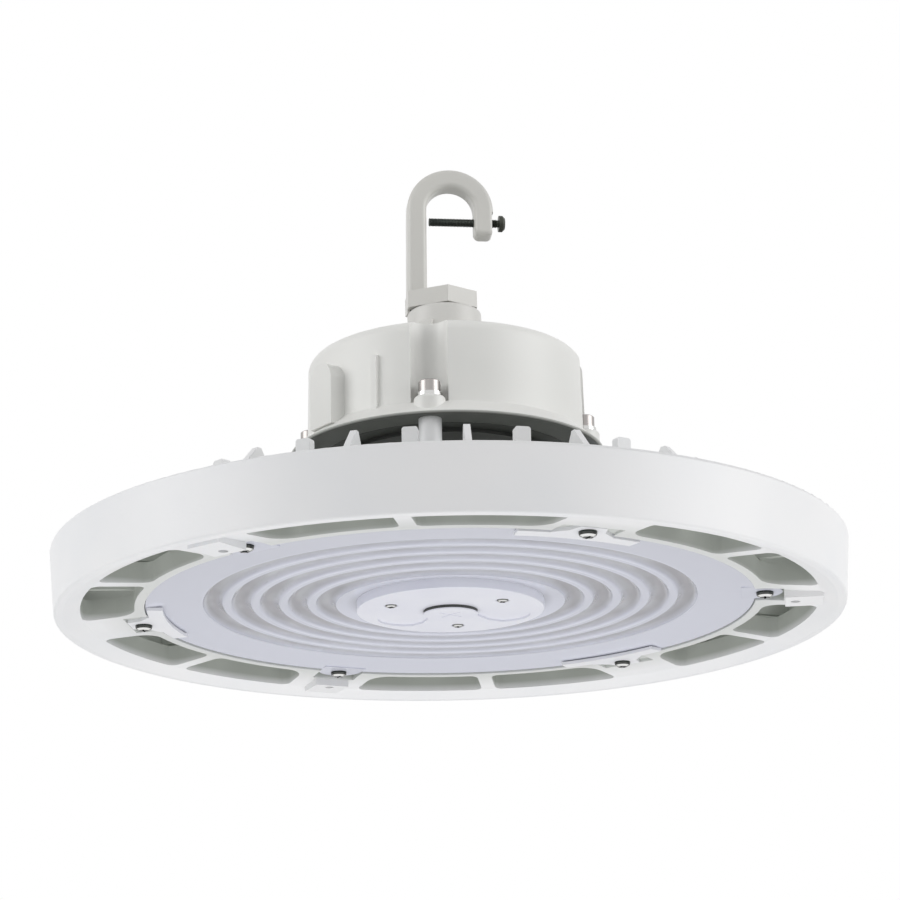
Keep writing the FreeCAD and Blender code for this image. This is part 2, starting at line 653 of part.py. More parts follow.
def build_board():
    body = ring("led_board", S["board_r"], S["board_bore_r"], board_z, S["board_t"])
    between = (ring_radii[0] + ring_radii[1]) / 2
    screws = new_sketch(body, "board_screw_holes", "XY_Plane", height=board_z, turn=30)
    draw_circle(screws, between, 0, S["board_screw_r"] + S["screw_gap"])
    screw_cut = pocket(body, screws, S["board_t"] + 1)
    around(body, [screw_cut], 6, screws, "N_Axis")
    leads = new_sketch(body, "board_lead_hole", "XY_Plane", height=board_z)
    draw_circle(leads, 0, S["sleeve_y"], S["sleeve_r"] - S["sleeve_wall"])
    body.Tip = pocket(body, leads, S["board_t"] + 1)
    doc.recompute()
    return body


def build_chips(number, radius):
    """Ring of chips: separate square solids on the underside of the board."""
    label = "led_ring_%d" % (number + 1)
    body = new_body(label)
    sketch = new_sketch(body, label + "_chip", "XY_Plane", height=chip_z)
    half = S["chip_w"] / 2
    draw_box(sketch, radius - half, radius + half, -half, half)
    chip = pad(body, sketch, S["chip_h"])
    around(body, [chip], S["chips_first"] + S["chips_step"] * number, sketch, "N_Axis")
    doc.recompute()
    return body


# ---------------------------------------------------------------- centre cover

def build_cover():
    """Shallow cap with an aperture, two sunken petals and three screws between them."""
    face = S["cover_face_z"]
    back = S["cover_back_z"]
    edge = S["cover_edge"]
    wall = 2
    section = [
        (S["aperture_r"], face), (S["cover_r"] - edge, face), (S["cover_r"], face + edge),
        (S["cover_r"], back), (S["lens_bore_r"] + 1, back),
        (S["lens_bore_r"] + 1, face + S["cover_t"]), (S["aperture_r"] + wall, face + S["cover_t"]),
        (S["aperture_r"] + wall, back + 0.3), (S["aperture_r"], back + 0.3),
    ]
    body = turned("sensor_cover", section, {1: (edge, True)})
    for name, turn in (("petal_right", 30), ("petal_left", 150)):
        petal = new_sketch(body, name, "XY_Plane", height=face, turn=turn)
        draw_outline(petal, [
            (S["lobe_in_r"], -S["lobe_in_half"]), (S["lobe_mid_r"], -S["lobe_mid_half"]),
            (S["lobe_out_r"], -S["lobe_half_w"]), (S["lobe_out_r"], S["lobe_half_w"]),
            (S["lobe_mid_r"], S["lobe_mid_half"]), (S["lobe_in_r"], S["lobe_in_half"])],
            {2: (S["lobe_end_r"], True)})
        pocket(body, petal, S["lobe_depth"])
    sink = new_sketch(body, "screw_sink", "XY_Plane", height=face, turn=COVER_SCREW_TURN)
    draw_circle(sink, S["cover_screw_pcd_r"], 0, S["cover_screw_sink_r"])
    sink_cut = pocket(body, sink, S["cover_screw_sink"])
    hole = new_sketch(body, "screw_hole", "XY_Plane", height=face, turn=COVER_SCREW_TURN)
    draw_circle(hole, S["cover_screw_pcd_r"], 0, S["board_screw_r"] + S["screw_gap"])
    hole_cut = pocket(body, hole, S["cover_t"] + 1)
    around(body, [sink_cut, hole_cut], 3, hole, "N_Axis")
    doc.recompute()
    return body


def build_plug():
    """Blanking plug: a thin lid that stands below the aperture on a neck, with crossed slits."""
    face = S["plug_face_z"]
    cap_top = face + S["plug_cap_t"]
    body = turned("sensor_plug", [
        (as_size(0), face), (S["aperture_r"], face), (S["aperture_r"], cap_top),
        (S["plug_neck_r"], cap_top), (S["plug_neck_r"], S["plug_top_z"]),
        (as_size(0), S["plug_top_z"])])
    for number in range(2):
        slit = new_sketch(body, "slit_%d" % number, "XY_Plane", height=face,
                          turn=S["slit_deg"] + 90 * number)
        draw_box(slit, -S["slit_l"] / 2, S["slit_l"] / 2, -S["slit_w"] / 2, S["slit_w"] / 2)
        body.Tip = pocket(body, slit, S["slit_depth"])
    doc.recompute()
    return body


def build_socket():
    low = S["cover_face_z"] + S["cover_t"]
    clear_r = S["aperture_r"] + 2.3
    lead_r = S["plug_neck_r"] - 3.5
    section = [
        (clear_r, low), (S["socket_r"], low), (S["socket_r"], plate_z), (lead_r, plate_z),
        (lead_r, S["plug_top_z"] + 0.3), (clear_r, S["plug_top_z"] + 0.3),
    ]
    body = turned("sensor_socket", section)
    hole = new_sketch(body, "socket_screw_hole", "XY_Plane", height=low, turn=COVER_SCREW_TURN)
    draw_circle(hole, S["cover_screw_pcd_r"], 0, S["board_screw_r"] + S["screw_gap"])
    hole_cut = pocket(body, hole, S["screw_depth"] - 1)
    around(body, [hole_cut], 3, hole, "N_Axis")
    doc.recompute()
    return body


# ---------------------------------------------------------------- driver housing

def build_housing():
    """Cast drum on a flared flange, with four bolt channels, a side boss and one rib."""
    low = S["house_base_z"]
    top = S["house_top_z"]
    section = [
        (S["base_r"] + S["base_gap"], low), (S["flange_r"] - S["flange_edge"], low),
        (S["flange_r"], low + S["flange_edge"]), (S["house_low_r"] + 1, S["house_low_z"] - 0.4),
        (S["house_low_r"], S["house_low_z"] + 0.5), (S["house_top_r"], top),
        (S["spigot_r"] + S["spigot_gap"], top), (S["spigot_r"] + S["spigot_gap"], cavity_top_z),
        (S["house_cavity_r"], cavity_top_z), (S["house_cavity_r"], base_seat_z),
        (S["base_r"] + S["base_gap"], base_seat_z),
    ]
    body = turned("driver_housing", section)
    fillet(body, circle_edges(body.Tip.Shape, S["house_top_r"].number, top.number),
           S["house_top_edge"])

    arch = new_sketch(body, "side_boss", "XZ_Plane", turn=S["arch_deg"] + 90)
    half = S["arch_w"] / 2
    spring = S["arch_top_z"] - half
    draw_outline(arch, [(-half, low + 4), (half, low + 4), (half, spring), (-half, spring)],
                 {2: (half * 1.0001, True)})
    pad(body, arch, S["arch_reach"])

    rib = new_sketch(body, "side_rib", "XY_Plane", height=S["house_low_z"] - 1, turn=S["rib_deg"])
    draw_box(rib, S["house_low_r"] - 3, S["rib_reach"], -S["side_rib_w"] / 2, S["side_rib_w"] / 2)
    pad(body, rib, S["rib_top_z"] - S["house_low_z"] + 1)

    channel = new_sketch(body, "channel", "XY_Plane", height=S["channel_floor_z"])
    draw_circle(channel, S["post_pcd_r"], 0, S["channel_r"])
    channel_cut = pocket(body, channel, top - S["channel_floor_z"] + 1)
    around(body, [channel_cut], 4, channel, "N_Axis")

    boss = new_sketch(body, "bolt_boss", "XZ_Plane")
    reach = S["bolt_boss_r"]
    edge = S["bolt_boss_edge"]
    draw_outline(boss, [
        (S["post_pcd_r"], low), (S["post_pcd_r"] + reach, low),
        (S["post_pcd_r"] + reach, S["bolt_boss_z"] - edge),
        (S["post_pcd_r"] + reach - edge, S["bolt_boss_z"]),
        (S["post_pcd_r"], S["bolt_boss_z"])], {2: (edge, True)})
    axis = boss.addGeometry(Part.LineSegment(
        Vector(S["post_pcd_r"].number, -10, 0), Vector(S["post_pcd_r"].number, 10, 0)), True)
    boss.addConstraint(Sketcher.Constraint("Vertical", axis))
    pin_distance(boss, "DistanceX", axis, 1, S["post_pcd_r"])
    boss_turned = revolve(body, boss, axis="Axis0")
    around(body, [boss_turned], 4, boss)
    clear_inside(body)

    bolt = new_sketch(body, "bolt_hole", "XY_Plane", height=low)
    draw_circle(bolt, S["post_pcd_r"], 0, S["bolt_r"] + S["bolt_gap"])
    bolt_cut = pocket(body, bolt, S["bolt_boss_z"] - low + 1)
    around(body, [bolt_cut], 4, bolt, "N_Axis")

    screws = new_sketch(body, "base_screw_hole", "XY_Plane", height=base_seat_z, turn=45)
    draw_circle(screws, S["base_screw_pcd_r"], 0, S["board_screw_r"] + S["screw_gap"])
    screw_cut = pocket(body, screws, S["screw_depth"] + 0.5)
    around(body, [screw_cut], 4, screws, "N_Axis")
    doc.recompute()
    return body


def clear_inside(body):
    """Cut away what the side boss and the bolt bosses leave inside the cavity and the recess."""
    inside = new_sketch(body, "inside", "XY_Plane", height=base_seat_z)
    draw_circle(inside, 0, 0, S["house_cavity_r"])
    pocket(body, inside, cavity_top_z - base_seat_z)
    recess = new_sketch(body, "base_recess", "XY_Plane", height=S["house_base_z"])
    draw_circle(recess, 0, 0, S["base_r"] + S["base_gap"])
    pocket(body, recess, base_seat_z - S["house_base_z"])


def build_base():
    section = [
        (as_size(0), base_low_z), (S["base_disc_r"], base_low_z),
        (S["base_disc_r"], S["house_base_z"]), (S["base_r"], S["house_base_z"]),
        (S["base_r"], base_top_z), (as_size(0), base_top_z),
    ]
    body = turned("driver_base", section)
    leads = new_sketch(body, "base_lead_hole", "XY_Plane", height=base_low_z)
    draw_circle(leads, 0, S["sleeve_y"], S["sleeve_r"] + S["sleeve_gap"])
    pocket(body, leads, base_top_z - base_low_z + 1)
    screws = new_sketch(body, "base_plate_screw_hole", "XY_Plane", height=base_low_z, turn=45)
    draw_circle(screws, S["base_screw_pcd_r"], 0, S["board_screw_r"] + S["screw_gap"])
    screw_cut = pocket(body, screws, base_top_z - base_low_z + 1)
    around(body, [screw_cut], 4, screws, "N_Axis")
    foot = new_sketch(body, "driver_screw_pilot", "XY_Plane", height=base_top_z)
    for side in (1, -1):
        draw_circle(foot, S["foot_screw_x"] * side, S["driver_y"],
                    S["board_screw_r"] + S["screw_gap"])
    body.Tip = pocket(body, foot, S["base_t"] - 0.5, upward=False)
    doc.recompute()
    return body


def build_base_gasket():
    body = ring("base_gasket", S["base_r"], S["house_cavity_r"], base_top_z, S["base_gasket_t"])
    screws = new_sketch(body, "gasket_screw_hole", "XY_Plane", height=base_top_z, turn=45)
    draw_circle(screws, S["base_screw_pcd_r"], 0, S["board_screw_r"] + S["screw_gap"])
    screw_cut = pocket(body, screws, S["base_gasket_t"] + 1)
    around(body, [screw_cut], 4, screws, "N_Axis")
    doc.recompute()
    return body


def build_driver():
    """Potted driver: a block with rounded edges on a foot plate with two screw holes."""
    body = new_body("led_driver")
    middle = S["driver_y"]
    foot = new_sketch(body, "foot_outline", "XY_Plane", height=base_top_z)
    draw_box(foot, -S["foot_l"] / 2, S["foot_l"] / 2,
             middle - S["foot_w"] / 2, middle + S["foot_w"] / 2)
    pad(body, foot, S["foot_t"])
    block = new_sketch(body, "block_outline", "XY_Plane", height=base_top_z)
    draw_box(block, -S["driver_l"] / 2, S["driver_l"] / 2,
             middle - S["driver_w"] / 2, middle + S["driver_w"] / 2)
    pad(body, block, S["driver_h"])
    holes = new_sketch(body, "foot_holes", "XY_Plane", height=base_top_z)
    for side in (1, -1):
        draw_circle(holes, S["foot_screw_x"] * side, middle, S["board_screw_r"] + S["screw_gap"])
    pocket(body, holes, S["foot_t"] + 1)
    doc.recompute()
    upright = []
    for number, edge in enumerate(body.Tip.Shape.Edges, start=1):
        first = edge.Vertexes[0].Point
        last = edge.Vertexes[-1].Point
        straight_up = math.hypot(first.x - last.x, first.y - last.y) < 0.01
        if straight_up and edge.Length > S["driver_h"].number - S["foot_t"].number - 0.1:
            upright.append("Edge%d" % number)
    fillet(body, upright, S["driver_edge"])
    doc.recompute()
    return body


def build_driver_screws():
    """Two pan screws that hold the driver's foot to the base plate, heads up."""
    body = new_body("driver_screws")
    seat = base_top_z + S["foot_t"]
    for part, radius, low, height in (
            ("head", S["board_screw_head_r"], seat, S["board_screw_head_h"]),
            ("shank", S["board_screw_r"], seat - S["foot_t"] - 2, S["foot_t"] + 2)):
        sketch = new_sketch(body, "driver_screw_" + part, "XY_Plane", height=low)
        for side in (1, -1):
            draw_circle(sketch, S["foot_screw_x"] * side, S["driver_y"], radius)
        pad(body, sketch, height)
    doc.recompute()
    return body


# ---------------------------------------------------------------- hub and hook

def build_hub():
    top = S["hub_top_z"]
    section = [
        (S["wire_bore_r"], hub_base_z - S["spigot_len"]),
        (S["spigot_r"], hub_base_z - S["spigot_len"]), (S["spigot_r"], hub_base_z),
        (S["hub_flange_r"], hub_base_z), (S["hub_flange_r"], hub_base_z + S["hub_flange_t"]),
        (S["hub_r"], hub_base_z + S["hub_flange_t"]), (S["hub_r"], top - S["hub_edge"]),
        (S["hub_r"] - S["hub_edge"], top), (S["hub_bore_r"], top),
        (S["hub_bore_r"], hub_base_z + S["hub_floor_t"]),
        (S["wire_bore_r"], hub_base_z + S["hub_floor_t"]),
    ]
    body = turned("hub_collar", section, {6: (S["hub_edge"], True)})
    gusset = new_sketch(body, "gusset", "XZ_Plane", turn=S["gusset_deg"])
    draw_outline(gusset, [
        (S["hub_r"] - 3, hub_base_z + 1), (S["hub_flange_r"] - 1, hub_base_z + 1),
        (S["hub_flange_r"] - 1, hub_base_z + S["hub_flange_t"] + 1),
        (S["hub_r"] + 1, S["gusset_top_z"]), (S["hub_r"] - 3, S["gusset_top_z"])])
    gusset_pad = pad(body, gusset, S["gusset_w"], symmetric=True)
    around(body, [gusset_pad], 3, gusset)
    doc.recompute()
    return body


def hexagon(sketch, across, turn=0):
    corner_r = across / math.sqrt(3)
    draw_outline(sketch, [polar(corner_r, turn + 60 * number) for number in range(6)])


def build_nut():
    body = new_body("hub_locknut")
    outline = new_sketch(body, "nut_outline", "XY_Plane", height=cavity_top_z - S["nut_t"])
    hexagon(outline, S["nut_across"])
    draw_circle(outline, 0, 0, S["spigot_r"] + S["spigot_gap"])
    pad(body, outline, S["nut_t"])
    doc.recompute()
    return body


def build_hook():
    """Hook casting: a flat band bent to an eye, a hexagon and the stub that screws in the hub."""
    body = new_body("hook", "hook_turn_deg")
    hex_low = S["hub_top_z"] + S["hex_gap"]
    band = new_sketch(body, "band", "XZ_Plane")
    eye_x = S["hook_eye_x"]
    eye_z = S["hook_eye_z"]
    inner = S["hook_in_r"]
    outer = inner + S["hook_band"]
    tip_z = S["hook_tip_z"]
    tip_edge = S["hook_tip_edge"]
    draw_outline(band, [
        (eye_x - outer, eye_z), (S["shank_foot_x"], hex_low), (S["shank_in_x"], hex_low),
        (eye_x - inner, eye_z), (eye_x, eye_z + inner), (eye_x + inner, eye_z),
        (eye_x + inner, tip_z + tip_edge), (eye_x + inner + tip_edge, tip_z),
        (eye_x + outer - tip_edge, tip_z), (eye_x + outer, tip_z + tip_edge),
        (eye_x + outer, eye_z), (eye_x, eye_z + outer)],
        {3: (inner, False), 4: (inner, False), 6: (tip_edge, True), 8: (tip_edge, True),
         10: (outer, True), 11: (outer, True)})
    pad(body, band, S["hook_depth"], symmetric=True)
    doc.recompute()

    names = []
    side_y = S["hook_depth"].number / 2
    for number, edge in enumerate(body.Tip.Shape.Edges, start=1):
        places = [point.Point for point in edge.Vertexes]
        on_side = all(abs(abs(place.y) - side_y) < 0.01 for place in places)
        across = abs(places[0].y - places[-1].y) > 0.01
        at_foot = max(place.z for place in places) < hex_low.number + 0.01
        if on_side and not across and not at_foot:
            names.append("Edge%d" % number)
    fillet(body, names, S["hook_edge"])

    outline = new_sketch(body, "hex_outline", "XY_Plane", height=hex_low)
    hexagon(outline, S["hex_across"], turn=30)
    pad(body, outline, S["hex_h"])
    side = new_sketch(body, "hex_side", "XY_Plane", height=hex_low)
    draw_outline(side, [
        (S["shank_foot_x"], -S["hex_side_half"]), (S["hex_side_in_x"], -S["hex_side_in_half"]),
        (S["hex_side_in_x"], S["hex_side_in_half"]), (S["shank_foot_x"], S["hex_side_half"])])
    pad(body, side, S["hex_h"])
    stub = new_sketch(body, "stub", "XY_Plane", height=hex_low + 1)
    draw_circle(stub, 0, 0, S["stub_r"])
    pad(body, stub, S["stub_len"] + 1, backward=True)
    tongue = new_sketch(body, "tongue", "XZ_Plane")
    draw_box(tongue, S["shank_foot_x"], S["shank_foot_x"] + S["shank_tongue"],
             S["shank_foot_z"], hex_low + 1)
    pad(body, tongue, S["hook_depth"] - S["hook_edge"] * 2, symmetric=True)

    land = new_sketch(body, "tip_land", "XZ_Plane")
    land_z = S["hook_screw_z"] + S["hook_screw_head_r"] + 0.3
    draw_box(land, eye_x + outer - S["tip_land"], eye_x + outer + 1, tip_z - 1, land_z)
    land_cut = pocket(body, land, S["hook_depth"] + 2)
    land_cut.SideType = "Symmetric"
    hole = new_sketch(body, "screw_way", "YZ_Plane")
    draw_circle(hole, 0, S["hook_screw_z"], S["hook_screw_r"] + S["screw_gap"])
    hole_cut = pocket(body, hole, S["hook_screw_head_x"])
    body.Tip = hole_cut
    doc.recompute()
    return body


def build_hook_screw():
    """Pan screw across the eye; its thread is drawn as rings one pitch apart."""
    body = new_body("hook_screw", "hook_turn_deg")
    sketch = new_sketch(body, "hook_screw_section", "XZ_Plane")
    axis_z = S["hook_screw_z"]
    head_x = S["hook_screw_head_x"]
    head_r = S["hook_screw_head_r"]
    head_h = S["hook_screw_head_h"]
    end_x = S["hook_screw_end_x"]
    crest = axis_z + S["hook_screw_r"]
    valley = crest - S["thread_depth"]
    corners = [(end_x, axis_z), (end_x, valley)]
    rings = int((head_x - end_x).number / S["thread_pitch"].number) - 1
    for number in range(rings):
        start = end_x + S["thread_pitch"] * number
        corners += [(start + S["thread_pitch"] / 2, crest), (start + S["thread_pitch"], valley)]
    corners += [
        (head_x, valley), (head_x, axis_z + head_r), (head_x + head_h * 0.6, axis_z + head_r),
        (head_x + head_h, axis_z + head_r * 0.7), (head_x + head_h, axis_z)]
    draw_outline(sketch, corners)
    axis = sketch.addGeometry(Part.LineSegment(
        Vector(-20, axis_z.number, 0), Vector(20, axis_z.number, 0)), True)
    sketch.addConstraint(Sketcher.Constraint("Horizontal", axis))
    pin_distance(sketch, "DistanceY", axis, 1, axis_z)
    revolve(body, sketch, axis="Axis0")
    doc.recompute()
    return body


# ---------------------------------------------------------------- the whole light

def build_all():
    parts = [build_heat_sink(), build_lens()]
    parts.append(ring("lens_gasket", S["lens_r"] - 0.7, S["gasket_in_r"], lens_top_z,
                      S["gasket_t"]))
    for number in range(3):
        parts.append(build_clip("lens_clip_%d" % (number + 1), 60 + 120 * number))
    ear_screw = pan_screw(S["lens_z"], S["screw_head_r"], S["screw_head_h"], S["screw_r"],
                          S["screw_depth"])
    ear_cross = (S["lens_z"] - S["screw_head_h"], S["cross_half_l"], S["cross_depth"])
    parts.append(turned_group("lens_screws", S["lens_screw_pcd_r"], ear_screw, 3,
                              cross=ear_cross))
    clip_screw = pan_screw(S["lens_z"] - S["clip_t"], S["screw_head_r"], S["screw_head_h"],
                           S["screw_r"], S["screw_depth"])
    clip_cross = (S["lens_z"] - S["clip_t"] - S["screw_head_h"], S["cross_half_l"],
                  S["cross_depth"])
    parts.append(turned_group("clip_screws", S["lens_screw_pcd_r"], clip_screw, 3, first_deg=60,
                              cross=clip_cross))

    parts.append(build_board())
    for number, radius in enumerate(ring_radii):
        parts.append(build_chips(number, radius))
    between = (ring_radii[0] + ring_radii[1]) / 2
    board_screw = pan_screw(board_z, S["board_screw_head_r"], S["board_screw_head_h"],
                            S["board_screw_r"], S["board_t"] + S["small_screw_depth"])
    parts.append(turned_group("board_screws", between, board_screw, 6, first_deg=30))
    connector = new_body("board_connector")
    block = new_sketch(connector, "connector_outline", "XY_Plane",
                       height=board_z - S["connector_h"])
    draw_box(block, S["connector_r"] - S["connector_w"] / 2,
             S["connector_r"] + S["connector_w"] / 2, -S["connector_l"] / 2,
             S["connector_l"] / 2)
    pad(connector, block, S["connector_h"])
    parts.append(connector)

    parts += [build_cover(), build_plug(), build_socket()]
    parts.append(ring("plug_seal", S["aperture_r"] - S["seal_gap"], S["plug_neck_r"] + S["screw_gap"],
                      S["plug_face_z"] + S["plug_cap_t"],
                      S["seal_top_z"] - S["plug_face_z"] - S["plug_cap_t"]))
    cover_seat = S["cover_face_z"] + S["cover_screw_sink"]
    cover_screw = pan_screw(cover_seat, S["cover_screw_head_r"], S["cover_screw_head_h"],
                            S["board_screw_r"], S["screw_depth"])
    cover_cross = (cover_seat - S["cover_screw_head_h"], S["cross_half_l"] * 0.7,
                   S["cover_screw_head_h"] * 0.6)
    parts.append(turned_group("cover_screws", S["cover_screw_pcd_r"], cover_screw, 3,
                              first_deg=COVER_SCREW_TURN, cross=cover_cross))

    parts += [build_housing(), build_base(), build_base_gasket()]
    base_screw = pan_screw(S["house_base_z"], S["board_screw_head_r"],
                           S["board_screw_head_h"], S["board_screw_r"],
                           base_seat_z - S["house_base_z"] + S["screw_depth"])
    parts.append(turned_group("base_screws", S["base_screw_pcd_r"], base_screw, 4, first_deg=45))
    parts += [build_driver(), build_driver_screws()]
    head_top = bolt_seat_z + S["bolt_head_h"]
    bolt = [
        (as_size(0), bolt_seat_z - S["bolt_len"]), (S["bolt_r"], bolt_seat_z - S["bolt_len"]),
        (S["bolt_r"], bolt_seat_z), (S["bolt_head_r"], bolt_seat_z),
        (S["bolt_head_r"], head_top - 0.5), (S["bolt_head_r"] - 0.5, head_top),
        (S["bolt_socket_r"], head_top), (S["bolt_socket_r"], head_top - S["bolt_socket_depth"]),
        (as_size(0), head_top - S["bolt_socket_depth"]),
    ]
    parts.append(turned_group("driver_bolts", S["post_pcd_r"], bolt, 4))
    washer = [
        (S["bolt_r"] + S["bolt_gap"], S["bolt_boss_z"]), (S["washer_r"], S["bolt_boss_z"]),
        (S["washer_r"], bolt_seat_z), (S["bolt_r"] + S["bolt_gap"], bolt_seat_z),
    ]
    parts.append(turned_group("bolt_washers", S["post_pcd_r"], washer, 4))

    sleeve = new_body("wire_sleeve")
    tube = new_sketch(sleeve, "sleeve_outline", "XY_Plane", height=plate_z)
    draw_circle(tube, 0, S["sleeve_y"], S["sleeve_r"])
    draw_circle(tube, 0, S["sleeve_y"], S["sleeve_r"] - S["sleeve_wall"])
    pad(sleeve, tube, base_top_z + 2 - plate_z)
    parts.append(sleeve)

    parts.append(build_hub())
    parts.append(ring("hub_gasket", S["hub_flange_r"] - 1, S["spigot_r"] + S["spigot_gap"],
                      S["house_top_z"], S["hub_gasket_t"]))
    parts += [build_nut(), build_hook(), build_hook_screw()]
    doc.recompute()
    return parts


def report_failures(parts):
    failed = [item.Name for item in doc.Objects
              if "Invalid" in item.State or "Error" in item.State]
    failed += [part.Label for part in parts
               if part.Shape.isNull() or not part.Shape.isValid() or not part.Shape.Solids]
    if failed:
        raise RuntimeError("failed: " + ", ".join(failed))


all_parts = build_all()
report_failures(all_parts)
os.makedirs("parts", exist_ok=True)
for part in all_parts:
    part.Shape.exportStep("parts/%s.step" % part.Label)
    print("%-16s %2d solids %4d faces %10.1f mm3" % (
        part.Label, len(part.Shape.Solids), len(part.Shape.Faces), part.Shape.Volume))
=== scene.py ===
import math

import bpy
from mathutils import Matrix, Vector

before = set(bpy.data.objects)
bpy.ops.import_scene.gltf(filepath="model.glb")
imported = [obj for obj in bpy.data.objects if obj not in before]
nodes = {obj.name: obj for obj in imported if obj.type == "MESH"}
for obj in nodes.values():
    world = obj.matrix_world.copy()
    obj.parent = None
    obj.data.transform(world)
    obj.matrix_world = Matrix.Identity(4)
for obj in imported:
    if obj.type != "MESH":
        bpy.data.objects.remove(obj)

# High bay light. Metres, +Z up, origin at the centre of the rim's bottom plane.


WELL_DEPTH = (0.0035, 0.0065)    # heights over which painted shade darkens the walls of the heat sink's well
WELL_TOP = (0.028, 0.042)        # and over which the painted shade fades on the fins again
RIM_WALL_R = 0.1775              # between the rim's inner and outer faces
FLANGE_FACE = (0.0754, 0.0762)   # just above the housing's lower face, below which shade is painted
LENS_GROOVE = (0.0082, 0.0102)   # heights from the lens's flats to well inside its grooves

# Colours as 8 bit sRGB.
# painted shade in the heat sink's well
WELL_SHADE_GREY = (188, 192, 186)
# painted shade on the housing flange's lower face
FLANGE_SHADE_DARK = (96, 98, 95)
LENS_MILK = (227, 229, 241)
# painted streaks of refracted light and shade in the lens's grooves
REFRACTION_STREAK_DARK = (222, 221, 226)
REFRACTION_STREAK_PALE = (240, 241, 246)

SMOOTH = (0.14, 0.05)            # lens roughness on its flats and in its grooves
CLEAR = (0.12, 0.5)              # lens transmission there

FLOOR_SIZE = 12.0
FLOOR_HEIGHT = -0.55             # well below the light
SURROUND_STRENGTH = 0.34

LAMPS = (   # name, place, target, size, watts
    ("left", (-1.7, -0.6, 0.7), (0, 0, 0.08), 1.4, 15),
    ("right", (1.7, -0.6, 0.6), (0, 0, 0.08), 1.4, 17),
    ("front", (-0.4, -1.6, 1.4), (0, 0, 0.1), 1.0, 3),
    ("below", (0, 0.1, -0.5), (0, 0.1, 0), 1.3, 3.1),
)

CAMERA_PLACE = Vector((0, -1.17656, -0.28350))
CAMERA_TARGET = Vector((0.001325, 0, 0.080384))
CAMERA_LENS = 106.98             # in millimetres
SENSOR_WIDTH = 36
CAMERA_ROLL = -1.244             # in degrees

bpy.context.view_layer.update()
scene = bpy.context.scene


# ---------------------------------------------------------------- shader pieces

def linear(red, green, blue):
    """Scene colour of an 8 bit sRGB colour."""
    def channel(value):
        value /= 255
        return value / 12.92 if value <= 0.04045 else ((value + 0.055) / 1.055) ** 2.4
    return tuple(channel(value) for value in (red, green, blue))


def new_material(name, color, roughness, metallic=0.0, **sockets):
    """Principled material; sockets are further values of the shader, by their names."""
    material = bpy.data.materials.new(name)
    material.use_nodes = True
    inputs = shader_of(material).inputs
    inputs["Base Color"].default_value = (*color, 1)
    inputs["Roughness"].default_value = roughness
    inputs["Metallic"].default_value = metallic
    for socket, value in sockets.items():
        inputs[socket.replace("_", " ")].default_value = value
    return material


def shader_of(material):
    return material.node_tree.nodes["Principled BSDF"]


def add_node(material, kind, **values):
    """Node whose values are sockets where it has one of that name, and settings otherwise."""
    node = material.node_tree.nodes.new(kind)
    for key, value in values.items():
        if key in node.inputs:
            node.inputs[key].default_value = value
        else:
            setattr(node, key, value)
    return node


def wire(material, source, output, target, socket):
    material.node_tree.links.new(source.outputs[output], target.inputs[socket])


def coordinates(material):
    return add_node(material, "ShaderNodeTexCoord")


def map_range(material, source, output, start=(0, 1), end=(0, 1)):
    """Value taken from one range to another, and held at its ends."""
    node = add_node(material, "ShaderNodeMapRange")
    for socket, value in zip(("From Min", "From Max", "To Min", "To Max"), (*start, *end)):
        node.inputs[socket].default_value = value
    wire(material, source, output, node, "Value")
    return node


def height_mask(material, heights, end=(0, 1)):
    """Value that goes from one end to the other between two heights."""
    split = add_node(material, "ShaderNodeSeparateXYZ")
    wire(material, coordinates(material), "Object", split, "Vector")
    return map_range(material, split, "Z", heights, end)


def inside_radius(material, radius):
    """1 nearer the Z axis than the radius, and 0 outside it."""
    flat = add_node(material, "ShaderNodeVectorMath", operation="MULTIPLY")
    flat.inputs[1].default_value = (1, 1, 0)
    wire(material, coordinates(material), "Object", flat, "Vector")
    reach = add_node(material, "ShaderNodeVectorMath", operation="LENGTH")
    wire(material, flat, "Vector", reach, "Vector")
    inside = add_node(material, "ShaderNodeMath", operation="LESS_THAN")
    inside.inputs[1].default_value = radius
    wire(material, reach, "Value", inside, 0)
    return inside


def color_ramp(material, source, output, *stops):
    """Two colours over a value; each stop is a position and a colour."""
    ramp = add_node(material, "ShaderNodeValToRGB")
    for element, (position, color) in zip(ramp.color_ramp.elements, stops):
        element.position = position
        element.color = (*color, 1)
    wire(material, source, output, ramp, "Fac")
    return ramp


def mix_base_color(material, mask, low, high):
    """Base colour from low, where the mask is 0, to high; each is a colour or a socket."""
    links = material.node_tree.links
    mix = add_node(material, "ShaderNodeMix", data_type="RGBA")
    ends = [socket for socket in mix.inputs if socket.type == "RGBA"]
    for end, source in zip(ends, (low, high)):
        if isinstance(source, bpy.types.NodeSocket):
            links.new(source, end)
        else:
            end.default_value = (*source, 1)
    links.new(mask, mix.inputs["Factor"])
    result = next(socket for socket in mix.outputs if socket.type == "RGBA")
    links.new(result, shader_of(material).inputs["Base Color"])


def grain(material, scale, depth, detail=3.0, tone=None, tone_scale=18.0):
    """Fine bump all over and, with a tone, a slow drift from it to the base colour."""
    shader = shader_of(material)
    places = coordinates(material)
    noise = add_node(material, "ShaderNodeTexNoise", Scale=scale, Detail=detail)
    wire(material, places, "Object", noise, "Vector")
    bump = add_node(material, "ShaderNodeBump", Strength=1.0, Distance=depth)
    wire(material, noise, "Fac", bump, "Height")
    wire(material, bump, "Normal", shader, "Normal")
    if tone:
        base = tuple(shader.inputs["Base Color"].default_value)[:3]
        drift = add_node(material, "ShaderNodeTexNoise", Scale=tone_scale, Detail=2.0)
        wire(material, places, "Object", drift, "Vector")
        ramp = color_ramp(material, drift, "Fac", (0.35, tone), (0.65, base))
        wire(material, ramp, "Color", shader, "Base Color")


# ---------------------------------------------------------------- materials

def powder_coat(name, color, tone, roughness=0.42):
    """Satin powder coat on a casting: fine orange peel and a slight drift of tone."""
    material = new_material(name, color, roughness, Coat_Weight=0.12, Coat_Roughness=0.3)
    grain(material, scale=900.0, depth=0.00004, tone=tone)
    return material


